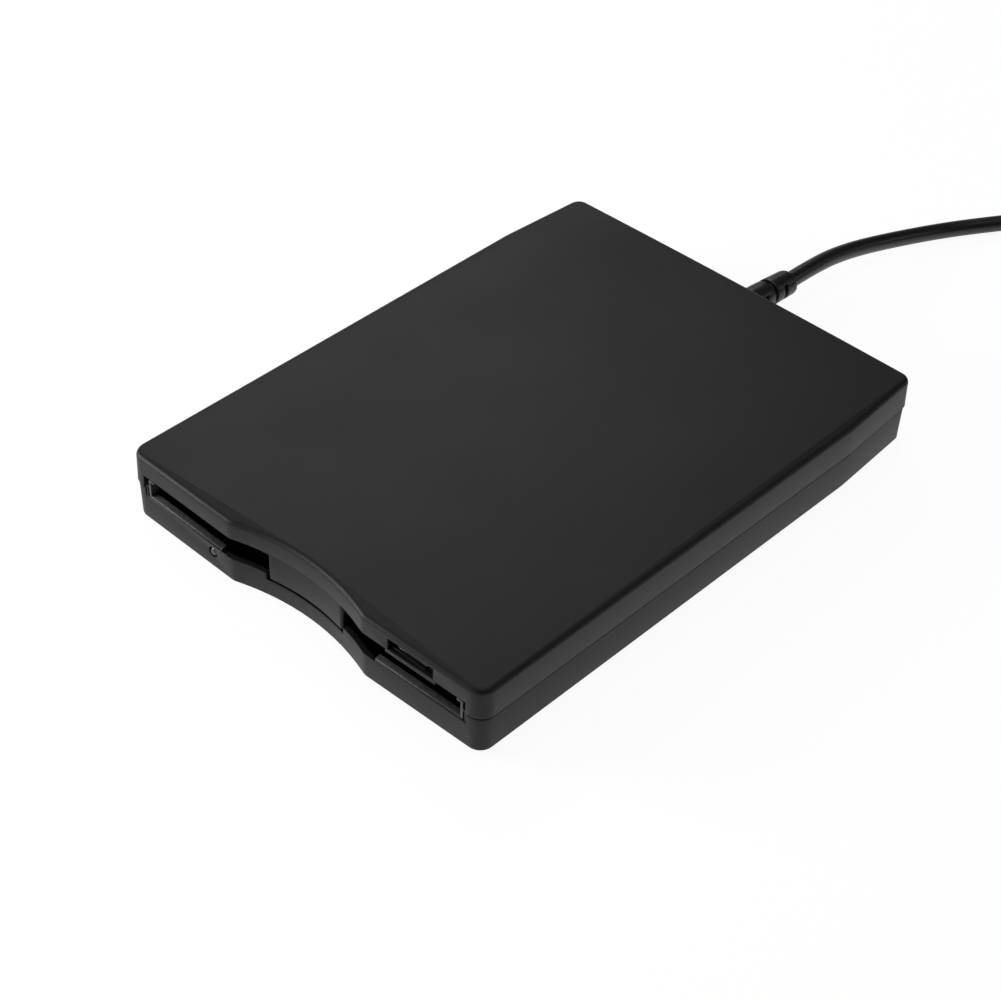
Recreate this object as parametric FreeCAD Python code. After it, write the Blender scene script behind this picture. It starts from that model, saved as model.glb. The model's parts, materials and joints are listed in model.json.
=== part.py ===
import FreeCAD, Part
import math
import os

# Slim external 3.5-inch floppy disk drive. Millimetres, +X to the right along the
# front, +Y to the rear, +Z up. The origin is on the table, under the middle of the case.
V = FreeCAD.Vector

# Case
case_width = 105.0
case_depth = 142.8           # with the slight bows of the front and the rear edge
case_height = 17.0
foot_proud = 0.6
seam_z = 9.5                 # where the two covers meet
wall = 1.5
floor_thick = 1.5
front_bow = 0.65
rear_bow = 0.45
front_corner_radius = 3.8
rear_corner_radius = 3.0
taper_start_y = 46.3         # the sides draw in from here to the rear corners
taper_in = 1.7
taper_bend_radius = 40.0
notch_half_width = 21.5      # the thumb notch across the front
notch_flank_deg = 17.0
notch_radius = 68.0
notch_end_radius = 5.0
top_draft = 0.14
top_edge_radius = 1.3
seam_step = 0.3              # the lower cover stands this far inside the upper one
bottom_draft = 0.28
bottom_edge_radius = 0.4
seam_lip_height = 1.2
seam_lip_gap = 0.1
seam_lip_inset = 1.05
seam_lip_thick = 0.75

case_bottom = foot_proud
case_top = case_bottom + case_height
front_y = -case_depth / 2
rear_y = case_depth / 2
floor_top = case_bottom + floor_thick
roof_z = case_top - wall

# Disk slot across the front
slot_half_width = 48.0
slot_low = 7.0
slot_high = 13.0
pad_cut_half_width = 13.2    # the lower lip dips under the middle of the door
pad_cut_low = 5.2
sill_inner_x = 22.9          # the sills stand on the lip from here out
sill_seat_z = 6.9
front_skin = 0.75            # the lip is this thin behind the sills

# Eject button and its window
window_left = 26.9
window_right = 39.3
window_low = 13.2
window_high = 16.1
bridge_low = 12.25
bridge_side = 0.6
eject_travel = 4.0

# Disk and the space that it slides in
disk_width = 90.0
disk_length = 94.0
disk_thick = 3.3
disk_low = 8.1               # underside of a disk on its way in
disk_front = -62.0
load_drop = 2.0
hub_y = disk_front + disk_length / 2

# Door
door_pivot_y = -66.0
door_pivot_z = 13.9
door_pin_radius = 0.7
door_half_width = 45.4
door_flap_low = 8.5
door_flap_thick = 1.0
pad_half_width = 13.0
pad_low = 5.9
pad_high = 12.75
pad_setback = 0.45           # behind the deepest point of the notch

# Drive mechanism
frame_half_width = 47.9
frame_front = -56.0
frame_rear = 56.0
frame_low = 3.9
sheet = 0.8
thin_sheet = 0.5
frame_wall_high = 14.8
carrier_half_width = 45.9
carrier_front = -55.0
carrier_rear = 33.0
carrier_top = 13.0
slider_top = 14.2
slider_half_width = 46.8
rotor_radius = 13.0
rod_radius = 1.0
screw_radius = 1.0
track_travel = 14.8
screw_lead = 3.0

# Screws and feet
case_screw_x = 44.0
case_screw_y = 62.5
frame_screw_x = 40.0
frame_screw_front = -48.0
frame_screw_rear = 44.0
screw_head_radius = 2.2
screw_shank_radius = 1.0
foot_x = 43.0
foot_front = -59.0
foot_rear = 52.0
foot_radius = 4.5
foot_pocket = 0.4

# Boards, lamp and switches
led_x = -26.0
led_z = 4.95
usb_board_y = 61.8
usb_board_z = 4.6
usb_board_thick = 1.0
usb_post_x = (-28.0, 10.0)
board_low = 2.9
board_thick = 0.8
ribbon_thick = 0.25
ribbon_left = -12.0
ribbon_right = -6.0
switch_places = {"disk_in": (28.0, -51.0), "write_protect": (37.0, -51.0), "density": (-37.0, -51.0)}

# Loading mechanism
bow_slope = front_bow / (case_width / 2 - notch_half_width)
spring_x = door_half_width - 5.4
carrier_pin_y = (-40.0, 18.0)
carrier_pin_z = 10.6
carrier_pin_radius = 0.8
lever_x = -38.0
lever_y = 37.0
lever_z = 14.25
lever_thick = 0.45
lever_reach = 22.0
lever_rest_deg = -40.0

# Heads and their drive
head_y = hub_y + 39.5
rod_front = 33.2
rod_rear = 54.6
rod_x_mid = 11.0
rod_z = 7.0
screw_x = 24.0
screw_z = 8.9
motor_y = 56.0
motor_radius = 5.3
motor_length = 8.5
carriage_block_front = 49.0
carriage_block_rear = 54.4
arm_hinge_z = 12.9

# Cord and plug
cord_diameter = 4.1
cord_flats = 8
cord_axis_z = 9.1
relief_length = 21.0
relief_radius = 3.5
relief_tip_radius = 2.55
cable_hole_radius = 2.6
coil_lift = 0.65
coil_x = 64.0
coil_y = 151.6
coil_pitch = 5.4
coil_outer = 27.0
coil_low_z = cord_diameter / 2 + coil_lift
coil_layer_half_turns = 4
coil_half_turns = 8
plug_x = 89.65
plug_y = 114.5
plug_z = 4.6
plug_width = 16.0
plug_height = 8.2
plug_length = 27.0
plug_relief = 8.0
plug_front = plug_y - plug_relief - plug_length
shell_width = 12.0
shell_height = 4.5
shell_length = 12.0
shell_sheet = 0.3

# The cord's route from the strain relief to the coil, and from the coil's end to the plug
exit_route = [
    (0.0, 92.4, 9.1), (0.0, 102.4, 9.1), (0.9, 117.5, 5.4), (4.3, 131.5, 2.9), (11.7, 148.5, 2.1),
    (23.0, 166.5, 2.1), (41.0, 178.6, 2.7), (59.9, 178.6, 2.7),
]
tail_route = [(89.65, 147.5, 8.1), (89.65, 138.0, 8.1), (89.65, 124.0, 4.6), (89.65, 114.5, 4.6)]


def box(x0, x1, y0, y1, z0, z1):
    return Part.makeBox(x1 - x0, y1 - y0, z1 - z0, V(x0, y0, z0))


def both_sides(x0, x1, y0, y1, z0, z1):
    return box(x0, x1, y0, y1, z0, z1).fuse(box(-x1, -x0, y0, y1, z0, z1))


def post(radius, x, y, z0, z1):
    return Part.makeCylinder(radius, z1 - z0, V(x, y, z0))


def rod_y(radius, x, z, y0, y1):
    return Part.makeCylinder(radius, y1 - y0, V(x, y0, z), V(0, 1, 0))


def rod_x(radius, y, z, x0, x1):
    return Part.makeCylinder(radius, x1 - x0, V(x0, y, z), V(1, 0, 0))


def join(first, *others):
    shape = first
    for other in others:
        shape = shape.fuse(other)
    return shape.removeSplitter()


def cut(shape, *others):
    for other in others:
        shape = shape.cut(other)
    return shape


def mirror_x(shape):
    return shape.mirror(V(0, 0, 0), V(1, 0, 0))


def export(node, shape):
    shape.exportStep("parts/" + node + ".step")
    solids = len(shape.Solids)
    print(node, "solids", solids, "volume", round(shape.Volume, 1), "valid", shape.isValid())


def rounded_polygon(corners):
    """A closed wire through corners of (x, y, radius), each rounded by a tangent arc."""
    points = [V(x, y, 0) for x, y, radius in corners]
    arcs = []
    for i, (x, y, radius) in enumerate(corners):
        before = (points[i - 1] - points[i]).normalize()
        after = (points[(i + 1) % len(points)] - points[i]).normalize()
        half_turn = (math.pi - before.getAngle(after)) / 2
        reach = radius * math.tan(half_turn)
        inward = (before + after).normalize()
        middle = points[i] + inward * (radius / math.cos(half_turn) - radius)
        arcs.append((points[i] + before * reach, middle, points[i] + after * reach))
    edges = []
    for i, (start, middle, end) in enumerate(arcs):
        edges.append(Part.Arc(start, middle, end).toShape())
        following = arcs[(i + 1) % len(arcs)][0]
        if (following - end).Length > 1e-6:
            edges.append(Part.makeLine(end, following))
    return Part.Wire(edges)


def plan_outline():
    """The case seen from above, where it is widest."""
    half = case_width / 2
    corner_y = front_y + front_bow
    notch_vertex = front_y + notch_half_width * math.tan(math.radians(notch_flank_deg))
    rear_corner = rear_y - rear_bow
    rear_half = half - taper_in
    rear_slope = rear_bow / (0.575 * rear_half)
    rear_radius = 0.85 * rear_half / rear_slope
    crown_y = rear_y + rear_radius * rear_slope**2 / 2
    return rounded_polygon([
        (0, notch_vertex, notch_radius),
        (notch_half_width, front_y, notch_end_radius),
        (half, corner_y, front_corner_radius),
        (half, taper_start_y, taper_bend_radius),
        (rear_half, rear_corner, rear_corner_radius),
        (0, crown_y, rear_radius),
        (-rear_half, rear_corner, rear_corner_radius),
        (-half, taper_start_y, taper_bend_radius),
        (-half, corner_y, front_corner_radius),
        (-notch_half_width, front_y, notch_end_radius),
    ])


outline = plan_outline()


def outline_at(inset, z):
    wire = outline.makeOffset2D(-inset) if inset else outline.copy()
    wire.translate(V(0, 0, z))
    return wire


def tapered(inset_low, z_low, inset_high, z_high):
    """The solid between two insets of the outline."""
    return Part.makeLoft([outline_at(inset_low, z_low), outline_at(inset_high, z_high)], True, True)


def rim_edges(shape, z):
    return [e for e in shape.Edges if all(abs(v.Z - z) < 1e-4 for v in e.Vertexes)]


def four(x, y_front, y_rear):
    return [(x, y_front), (-x, y_front), (x, y_rear), (-x, y_rear)]


def slot_window():
    """What the disk slot, the button window and its bridge take out of the front walls."""
    outer = front_y - 5
    inner = -64.5
    right = window_right + bridge_side
    left = window_left - bridge_side
    slot = box(-slot_half_width, slot_half_width, outer, inner, slot_low, bridge_low)
    beside = box(-slot_half_width, left, outer, inner, bridge_low, slot_high)
    beyond = box(right, slot_half_width, outer, inner, bridge_low, slot_high)
    button = box(window_left, window_right, outer, inner, window_low, window_high)
    return slot.fuse([beside, beyond, button])


def top_cover():
    shell = tapered(0, seam_z, top_draft, case_top)
    shell = shell.makeFillet(top_edge_radius, rim_edges(shell, case_top))
    shell = shell.cut(tapered(wall, seam_z - 1, wall + top_draft, roof_z))
    rebate = seam_lip_inset - seam_lip_gap
    shell = shell.cut(tapered(rebate, seam_z - 1, rebate, seam_z + seam_lip_height + seam_lip_gap))
    shell = shell.cut(slot_window())
    shell = shell.cut(rod_y(cable_hole_radius + 0.4, 0, cord_axis_z, rear_y - 4, rear_y + 2))
    ribs_low = frame_wall_high + thin_sheet + 0.25
    for x in (case_screw_x, -case_screw_x):
        boss = post(2.9, x, case_screw_y, seam_z + 0.1, roof_z + 0.2)
        side = sorted((x, 0.9 * x))
        gusset = box(*side, case_screw_y - 0.5, case_screw_y + 0.5, 12.0, roof_z + 0.2)
        shell = shell.fuse([boss, gusset])
        shell = shell.cut(post(1.05, x, case_screw_y, seam_z, roof_z - 0.8))
    for y in (-36.0, -8.0, 20.0, 44.0):
        shell = shell.fuse(box(-38, 38, y - 0.5, y + 0.5, ribs_low, roof_z + 0.2))
    return shell.removeSplitter()


def bottom_cover():
    shell = tapered(seam_step + bottom_draft, case_bottom, seam_step, seam_z)
    shell = shell.makeFillet(bottom_edge_radius, rim_edges(shell, case_bottom))
    lip_inner = seam_lip_inset + seam_lip_thick
    lip = tapered(seam_lip_inset, seam_z - 0.5, seam_lip_inset, seam_z + seam_lip_height)
    shell = shell.fuse(lip).cut(tapered(lip_inner, floor_top, lip_inner, case_top))
    shell = shell.cut(slot_window())
    pad_cut = box(-pad_cut_half_width, pad_cut_half_width, front_y - 5, -64.5, pad_cut_low, slot_low + 0.1)
    sill_seat = both_sides(sill_inner_x, slot_half_width, front_y - 5, -69.0, sill_seat_z, slot_low + 0.1)
    behind_skin = seam_step + front_skin
    thinned = tapered(behind_skin, 2.8, behind_skin, slot_low + 0.1)
    thinned = thinned.common(both_sides(sill_inner_x - 0.2, slot_half_width - 0.1, front_y, -69.0, 2.8, 8.0))
    shell = cut(shell, pad_cut, sill_seat, thinned)
    shell = shell.cut(rod_y(1.3, led_x, led_z, front_y - 2, front_y + 4))
    shell = shell.cut(rod_y(cable_hole_radius + 0.4, 0, cord_axis_z, rear_y - 4, rear_y + 2))
    for x, y in four(frame_screw_x, frame_screw_front, frame_screw_rear):
        shell = shell.fuse(post(3.2, x, y, floor_top - 0.2, frame_low))
        shell = shell.cut(post(1.4, x, y, case_bottom - 1, frame_low + 1))
        shell = shell.cut(post(2.5, x, y, case_bottom - 1, case_bottom + 1.0))
    for x in (case_screw_x, -case_screw_x):
        shell = shell.fuse(post(3.2, x, case_screw_y, floor_top - 0.2, seam_z - 0.1))
        shell = shell.cut(post(1.4, x, case_screw_y, case_bottom - 1, seam_z + 1))
        shell = shell.cut(post(2.5, x, case_screw_y, case_bottom - 1, case_bottom + 3.0))
    for x, y in four(foot_x, foot_front, foot_rear):
        shell = shell.cut(post(foot_radius + 0.15, x, y, case_bottom - 1, case_bottom + foot_pocket))
    for x in usb_post_x:
        shell = shell.fuse(post(2.0, x, usb_board_y, floor_top - 0.2, usb_board_z))
    return shell.removeSplitter()


def rubber_feet():
    feet = []
    for x, y in four(foot_x, foot_front, foot_rear):
        pad = post(foot_radius, x, y, 0, case_bottom + foot_pocket)
        feet.append(pad.makeChamfer(0.4, rim_edges(pad, 0)))
    return Part.makeCompound(feet)


def screw(x, y, head_low, head_high, tip):
    """A cross-head screw standing head down."""
    head = post(screw_head_radius, x, y, head_low, head_high)
    head = head.makeChamfer(0.3, rim_edges(head, head_low))
    shape = head.fuse(post(screw_shank_radius, x, y, head_high - 0.1, tip))
    cross = box(x - 1.1, x + 1.1, y - 0.25, y + 0.25, head_low - 1, head_low + 0.6)
    cross = cross.fuse(box(x - 0.25, x + 0.25, y - 1.1, y + 1.1, head_low - 1, head_low + 0.6))
    return shape.cut(cross).removeSplitter()


def case_screws():
    low = case_bottom + 1.7
    return Part.makeCompound([
        screw(x, case_screw_y, low, case_bottom + 3.0, 14.5)
        for x in (case_screw_x, -case_screw_x)])


def frame_screws():
    return Part.makeCompound([
        screw(x, y, case_bottom + 0.1, case_bottom + 1.0, frame_low + sheet + 0.8)
        for x, y in four(frame_screw_x, frame_screw_front, frame_screw_rear)])


def bow_y(x, inset):
    """Where the straight part of the front stands, beside the thumb notch."""
    return front_y + inset + bow_slope * (abs(x) - notch_half_width)


def slot_guide():
    """The right-hand guide: sill on the lip, thin end wall and the cheek that holds the door pin."""
    x0 = sill_inner_x + 0.1
    x1 = slot_half_width - 0.2
    face = bow_y(x0, seam_step)
    profile = [(0.08, 6.98), (0.08, 7.14), (0.18, 7.24), (0.85, 7.24), (1.5, 6.3), (1.5, 4.0),
               (3.0, 4.0), (3.0, 3.0), (0.85, 3.0), (0.85, 6.98)]
    points = [V(x0, face + y, z) for y, z in profile]
    sill = Part.Face(Part.makePolygon(points + points[:1])).extrude(V(x1 - x0, bow_slope * (x1 - x0), 0))
    end_wall = box(47.35, 47.9, -70.3, -62.0, 7.0, 10.2)
    end_cap = box(46.7, 47.9, -70.3, -62.0, 9.8, 10.2)
    foot = box(30.0, 47.8, -68.4, -57.0, 2.9, 4.0)
    cheek = box(45.9, 47.8, -68.6, -59.2, 3.0, 15.2)
    shape = join(sill, end_wall, end_cap, foot, cheek)
    shape = shape.cut(rod_x(door_pin_radius + 0.05, door_pivot_y, door_pivot_z, 45.0, 47.4))
    shape = shape.cut(rod_x(1.4, door_pivot_y, door_pivot_z, 45.0, 46.0))
    return shape.removeSplitter()


def left_slot_guide():
    return mirror_x(slot_guide()).cut(rod_y(1.35, led_x, led_z, front_y, -66.0))


def dust_door():
    """The flap behind the slot, with its two pivot pins."""
    y0 = door_pivot_y
    y1 = y0 + door_flap_thick
    button_gap = box(window_left - 2, window_right + 2, y0 - 2, y1 + 2, door_pivot_z - 0.5, 20)
    flap = box(-door_half_width, door_half_width, y0, y1, door_flap_low, door_pivot_z)
    lug = box(door_half_width - 3, door_half_width, y0, y1, door_pivot_z - 1, door_pivot_z + 0.6)
    barrel = rod_x(door_pin_radius + 0.5, y0 + 0.3, door_pivot_z, door_half_width - 3, door_half_width)
    pin = rod_x(door_pin_radius, y0, door_pivot_z, door_half_width - 3, door_half_width + 1.7)
    ends = [shape for s in (lug, barrel, pin) for shape in (s, mirror_x(s))]
    back = box(-pad_half_width + 0.4, pad_half_width - 0.4, y0, y1, pad_low + 0.3, door_pivot_z)
    rib = box(-30, 24, y1 - 0.1, y1 + 0.5, 10.6, 11.2)
    door = join(flap, *ends, back, rib)
    spring_gap = box(spring_x - 0.2, spring_x + 2.2, y0 - 2, y1 + 2, 12.4, 20)
    spring_pin = rod_x(door_pin_radius, y0, door_pivot_z, spring_x - 0.8, door_half_width)
    return cut(door, button_gap, spring_gap).fuse(spring_pin).removeSplitter()


def door_pad():
    """The thick middle of the door, whose curved face carries on the thumb notch."""
    face_y = front_y + notch_depth() + pad_setback
    arc_y = face_y - notch_radius
    cylinder = post(notch_radius, 0, arc_y, pad_low - 1, pad_high + 1)
    block = box(-pad_half_width, pad_half_width, face_y - 2, door_pivot_y, pad_low, pad_high)
    pad = block.cut(cylinder)
    side = box(0, pad_half_width, front_y, door_pivot_y, pad_low, pad_high)
    pad = pad.common(side.fuse(mirror_x(side)))
    front = [e for e in pad.Edges if abs(e.Length - (pad_high - pad_low)) < 1e-3
             and e.Vertexes[0].Y < door_pivot_y - 0.3]
    return pad.makeFillet(0.9, front) if front else pad


def notch_depth():
    flank = math.radians(notch_flank_deg)
    return notch_half_width * math.tan(flank) - notch_radius * (1 / math.cos(flank) - 1)


def eject_button():
    face_y = -70.2
    head = box(27.3, 37.2, face_y, -67.3, 13.45, 15.85)
    head = head.makeFillet(0.35, [e for e in head.Edges if all(abs(v.Y - face_y) < 1e-4 for v in e.Vertexes)])
    shank = box(29.5, 36.5, -67.5, frame_front + 1.6, 15.15, 15.85)
    web = box(32.6, 33.4, -67.4, -66.6, 14.2, 15.3)
    return join(head, shank, web)


def eject_slider():
    """The plate over the disk carrier, with cam slots in its turned-down sides."""
    low = slider_top - thin_sheet
    plate = box(-slider_half_width, slider_half_width, carrier_front + 1, carrier_rear - 3, low, slider_top)
    pad_notch = box(-14.0, 14.0, carrier_front, -52.0, low - 1, 20)
    inner = slider_half_width - thin_sheet
    wall_plate = box(inner, slider_half_width, carrier_front + 1, carrier_rear - 3, 7.6, low)
    riser = box(30.0, 36.0, frame_front + 0.8, carrier_front + 1.6, low, 15.15)
    shape = join(plate, wall_plate, mirror_x(wall_plate), riser)
    head_window = box(-9.5, 9.5, 2.0, 40.0, 0, 20)
    lever_window = box(-40.0, -9.0, 12.0, 40.0, 0, 20)
    holes = [post(6.0, x, y, low - 1, 20) for x in (-24, 24) for y in (-36, -10)]
    shape = cut(shape, head_window, lever_window, pad_notch, *holes)
    for y in carrier_pin_y:
        slot = cam_slot(y)
        shape = cut(shape, slot, mirror_x(slot))
    return shape


def cam_slot(y):
    """The slanted slot that moves a carrier pin down as the slider moves forward."""
    x0 = slider_half_width - 1
    x1 = slider_half_width + 1
    radius = carrier_pin_radius + 0.1
    upper = V(x0, y, carrier_pin_z)
    lower = V(x0, y + eject_travel, carrier_pin_z - load_drop)
    across = V(0, load_drop, eject_travel).normalize() * radius
    corners = [upper + across, upper - across, lower - across, lower + across]
    middle = Part.Face(Part.makePolygon(corners + corners[:1])).extrude(V(x1 - x0, 0, 0))
    return middle.fuse([rod_x(radius, p.y, p.z, x0, x1) for p in (upper, lower)])


def disk_carrier():
    """The cradle that lowers the disk: top plate, sides and the flanges that the disk slides on."""
    low = carrier_top - thin_sheet
    flange_low = disk_low - 0.8
    plate = box(-carrier_half_width, carrier_half_width, carrier_front, carrier_rear, low, carrier_top)
    inner = carrier_half_width - thin_sheet
    side = box(inner, carrier_half_width, carrier_front, carrier_rear, flange_low, low)
    flange = box(42.5, carrier_half_width, carrier_front, carrier_rear, flange_low, flange_low + thin_sheet)
    pins = [rod_x(carrier_pin_radius, y, carrier_pin_z, carrier_half_width - 0.1, slider_half_width - 0.05)
            for y in carrier_pin_y]
    halves = [s for piece in (side, flange, *pins) for s in (piece, mirror_x(piece))]
    shape = join(plate, *halves)
    head_window = box(-9.5, 9.5, 2.0, 40.0, low - 1, 20)
    lever_window = box(-40.0, -9.0, 12.0, 40.0, low - 1, 20)
    middle = post(16.5, 0, hub_y, low - 1, 20)
    return cut(shape, head_window, lever_window, middle)


def eject_lever():
    """The lever that turns as the disk goes in, with a pusher that stands against the disk."""
    arm = math.radians(lever_rest_deg)
    along = V(math.cos(arm), math.sin(arm), 0)
    across = V(-along.y, along.x, 0)
    base = V(lever_x, lever_y, lever_z)
    tip = base + along * lever_reach
    top = lever_z + lever_thick
    corners = [base + across * 2.6, base - across * 2.6, tip - across * 1.6, tip + across * 1.6]
    plate = Part.Face(Part.makePolygon(corners + corners[:1])).extrude(V(0, 0, lever_thick))
    hub = post(3.2, lever_x, lever_y, lever_z, top)
    tip_round = post(1.6, tip.x, tip.y, lever_z, top)
    pusher = post(0.9, tip.x, tip.y, 8.0, lever_z + 0.1)
    sleeve = post(1.9, lever_x, lever_y, 6.0, lever_z + 0.1)
    return join(plate, hub, tip_round, pusher, sleeve).cut(post(1.25, lever_x, lever_y, 0, 20))


def chassis_frame():
    """The pressed tray: base, turned-up sides, lugs and the posts that carry the moving pieces."""
    w = frame_half_width
    base = box(-w, w, frame_front, frame_rear, frame_low, frame_low + sheet)
    side = box(w - sheet, w, frame_front, frame_rear, frame_low, frame_wall_high)
    tab = box(34.0, 45.5, -62.0, frame_front + 0.5, 4.0, frame_low + sheet)
    rear_wall = box(-w, -20.0, frame_rear - sheet, frame_rear, frame_low, 11.0)
    shape = join(base, side, mirror_x(side), tab, mirror_x(tab), rear_wall)
    for y0, y1 in ((-46.0, -30.0), (-20.0, -4.0), (6.0, 16.0), (24.0, 42.0)):
        shape = shape.cut(box(-60, 60, y0, y1, 11.6, 13.4))
    shape = shape.cut(post(9.0, 0, hub_y, 0, 10))
    for x, y in ((-26, -38), (26, -38), (-27, 6), (27, 6)):
        shape = shape.cut(post(5.5, x, y, 0, 10))
    lever_post = post(1.2, lever_x, lever_y, frame_low, frame_wall_high)
    lever_shoulder = post(2.4, lever_x, lever_y, frame_low, 5.9)
    lugs = []
    for y0 in (rod_front, rod_rear):
        for x in (rod_x_mid, -rod_x_mid):
            lugs.append(box(x - 1.8, x + 1.8, y0, y0 + sheet, frame_low, rod_z + 1.7))
    far_lug = box(screw_x - 2.4, screw_x + 2.4, rod_front, rod_front + sheet, frame_low, screw_z + 2.2)
    motor_lug = box(screw_x - 6.0, screw_x + 6.0, motor_y - sheet, motor_y, frame_low, 14.4)
    dimples = [post(1.6, x, y, 3.7, frame_low + 0.1) for x, y in ((-30, -16), (30, -16), (0, 30))]
    shape = join(shape, lever_post, lever_shoulder, *lugs, far_lug, motor_lug, *dimples)
    for x in (rod_x_mid, -rod_x_mid):
        shape = shape.cut(rod_y(rod_radius, x, rod_z, rod_front - 1, rod_rear + 2))
    shape = shape.cut(rod_y(screw_radius + 0.05, screw_x, screw_z, rod_front - 1, motor_y + 1))
    for x, y in four(frame_screw_x, frame_screw_front, frame_screw_rear):
        shape = shape.cut(post(1.0, x, y, 0, 10))
    return shape.removeSplitter()


def drive_top_plate():
    w = frame_half_width
    plate = box(-w, w, -53.4, frame_rear, frame_wall_high, frame_wall_high + thin_sheet)
    plate = plate.cut(box(-12, 12, 8.0, 44.0, 0, 20))
    for x, y in ((-28, -30), (28, -30), (-30, 20), (30, 20)):
        plate = plate.cut(post(4.0, x, y, 0, 20))
    return plate


def guide_rods():
    return Part.makeCompound([rod_y(rod_radius, x, rod_z, rod_front - 0.4, rod_rear + sheet + 0.3)
                              for x in (rod_x_mid, -rod_x_mid)])


def head_carriage():
    """The block on the guide rods, its long lower arm and the follower on the lead screw."""
    y0 = carriage_block_front
    y1 = carriage_block_rear
    block = box(-13.4, 13.4, y0, y1, 5.2, 8.8)
    tower = box(-5.0, 5.0, y0 + 0.4, y1, 8.7, 12.0)
    arm = box(-4.5, 4.5, head_y - 3.5, y0 + 0.1, 5.0, 5.9)
    follower = box(13.0, screw_x + 1.8, y1 - 2.6, y1, 7.9, 8.8)
    nut = box(screw_x - 1.8, screw_x + 1.8, y1 - 2.6, y1, 7.3, 10.5)
    shape = join(block, tower, arm, follower, nut)
    for x in (rod_x_mid, -rod_x_mid):
        shape = shape.cut(rod_y(rod_radius + 0.05, x, rod_z, y0 - 1, y1 + 1))
    shape = shape.cut(rod_y(screw_radius + 0.05, screw_x, screw_z, y0 - 1, y1 + 1))
    return shape.removeSplitter()


def lower_head():
    return box(-2.0, 2.0, head_y - 2.5, head_y + 2.5, 5.9, 6.05)


def upper_head_arm():
    y1 = carriage_block_rear - 0.6
    arm = box(-4.0, 4.0, head_y - 3.5, y1, 12.4, 13.2)
    waist = both_sides(2.4, 4.1, head_y + 6, carriage_block_front - 4, 12, 14)
    hinge_barrel = rod_x(0.7, y1 - 0.7, arm_hinge_z, -4.0, 4.0)
    return join(arm.cut(waist), hinge_barrel)


def upper_head():
    return box(-2.0, 2.0, head_y - 2.5, head_y + 2.5, 11.9, 12.4)


def lead_screw():
    """A shaft with a rolled groove, shown as rings one lead apart."""
    shape = rod_y(screw_radius, screw_x, screw_z, rod_front - 0.5, motor_y + 3.0)
    y = rod_front + 2.0
    while y < motor_y - 2.0:
        ring = rod_y(screw_radius + 0.5, screw_x, screw_z, y, y + 0.8)
        shape = shape.cut(ring.cut(rod_y(screw_radius - 0.25, screw_x, screw_z, y - 1, y + 2)))
        y += screw_lead
    return shape


def stepper_motor():
    rear = motor_y + motor_length
    body = rod_y(motor_radius, screw_x, screw_z, motor_y, rear)
    boss = rod_y(2.2, screw_x, screw_z, rear - 0.1, rear + 0.7)
    groove = rod_y(motor_radius + 0.7, screw_x, screw_z, motor_y + 4.0, motor_y + 4.4)
    groove = groove.cut(rod_y(motor_radius - 0.3, screw_x, screw_z, motor_y + 3, motor_y + 6))
    bore = rod_y(screw_radius + 0.05, screw_x, screw_z, motor_y - 1, motor_y + 3.4)
    return body.fuse(boss).cut(groove).cut(bore)


def spindle_stator():
    ring = post(4.6, 0, hub_y, 4.9, 6.2)
    poles = ring
    for i in range(12):
        pole = box(3.5, 10.6, -0.9, 0.9, 4.9, 6.2)
        shoe = box(9.8, 10.8, -1.9, 1.9, 4.9, 6.2)
        arm = pole.fuse(shoe)
        arm.rotate(V(0, 0, 0), V(0, 0, 1), 30 * i)
        arm.translate(V(0, hub_y, 0))
        poles = poles.fuse(arm)
    plate = box(-14.5, 14.5, hub_y - 14.5, hub_y + 14.5, frame_low + sheet, 4.9)
    return join(poles, plate).cut(post(2.1, 0, hub_y, 0, 10))


def spindle_rotor():
    """The flat cup of the spindle motor, with its centre pin and the pin that drives the disk's hub."""
    cup = post(rotor_radius, 0, hub_y, 5.1, 7.1).cut(post(rotor_radius - 1.0, 0, hub_y, 5.0, 6.5))
    hub = post(8.0, 0, hub_y, 7.0, 7.45)
    shaft = post(1.0, 0, hub_y, 5.0, 7.95)
    drive_pin = post(0.8, 5.2, hub_y, 7.0, 7.9)
    sleeve = post(2.05, 0, hub_y, 5.0, 7.1)
    return join(cup, hub, sleeve, shaft, drive_pin)


def switch_body(x, y):
    body = box(x - 2.6, x + 2.6, y - 2.0, y + 2.0, frame_low + sheet, 6.2)
    return body.cut(post(0.65, x, y, 4.9, 10))


def plunger(name):
    x, y = switch_places[name]
    pin = post(0.6, x, y, 6.1, 7.5)
    return pin.makeChamfer(0.25, rim_edges(pin, 7.5))


def spring_body(x, z, y0, y1, outer, inner, turns):
    """A close-wound spring as a ribbed sleeve."""
    pitch = (y1 - y0) / turns
    points = [V(x + inner, y0, z)]
    for i in range(turns):
        points.append(V(x + outer - 0.3, y0 + i * pitch, z))
        points.append(V(x + outer, y0 + (i + 0.5) * pitch, z))
    points += [V(x + outer - 0.3, y1, z), V(x + inner, y1, z)]
    face = Part.Face(Part.makePolygon(points + points[:1]))
    return face.revolve(V(x, 0, z), V(0, 1, 0), 360)


def eject_springs():
    front = carrier_rear - 2.6
    return Part.makeCompound([spring_body(x, 13.95, front, 45.0, 0.75, 0.35, 6) for x in (-43.5, 43.5)])


def main_board():
    board = box(-34.0, 34.0, -34.0, 50.0, board_low, board_low + board_thick)
    notch = box(-40, -30, 30, 60, 0, 10)
    return cut(board, notch, mirror_x(notch), post(4.0, 0, hub_y, 0, 10))


def board_chips():
    places = [(-14.0, 12.0, 10.0, 10.0), (12.0, 16.0, 7.0, 7.0), (-20.0, -20.0, 5.0, 4.0),
              (18.0, -18.0, 6.0, 4.0), (6.0, 36.0, 6.0, 3.0)]
    return Part.makeCompound([box(x - a / 2, x + a / 2, y - b / 2, y + b / 2, board_low - 0.7, board_low)
                              for x, y, a, b in places])


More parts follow.
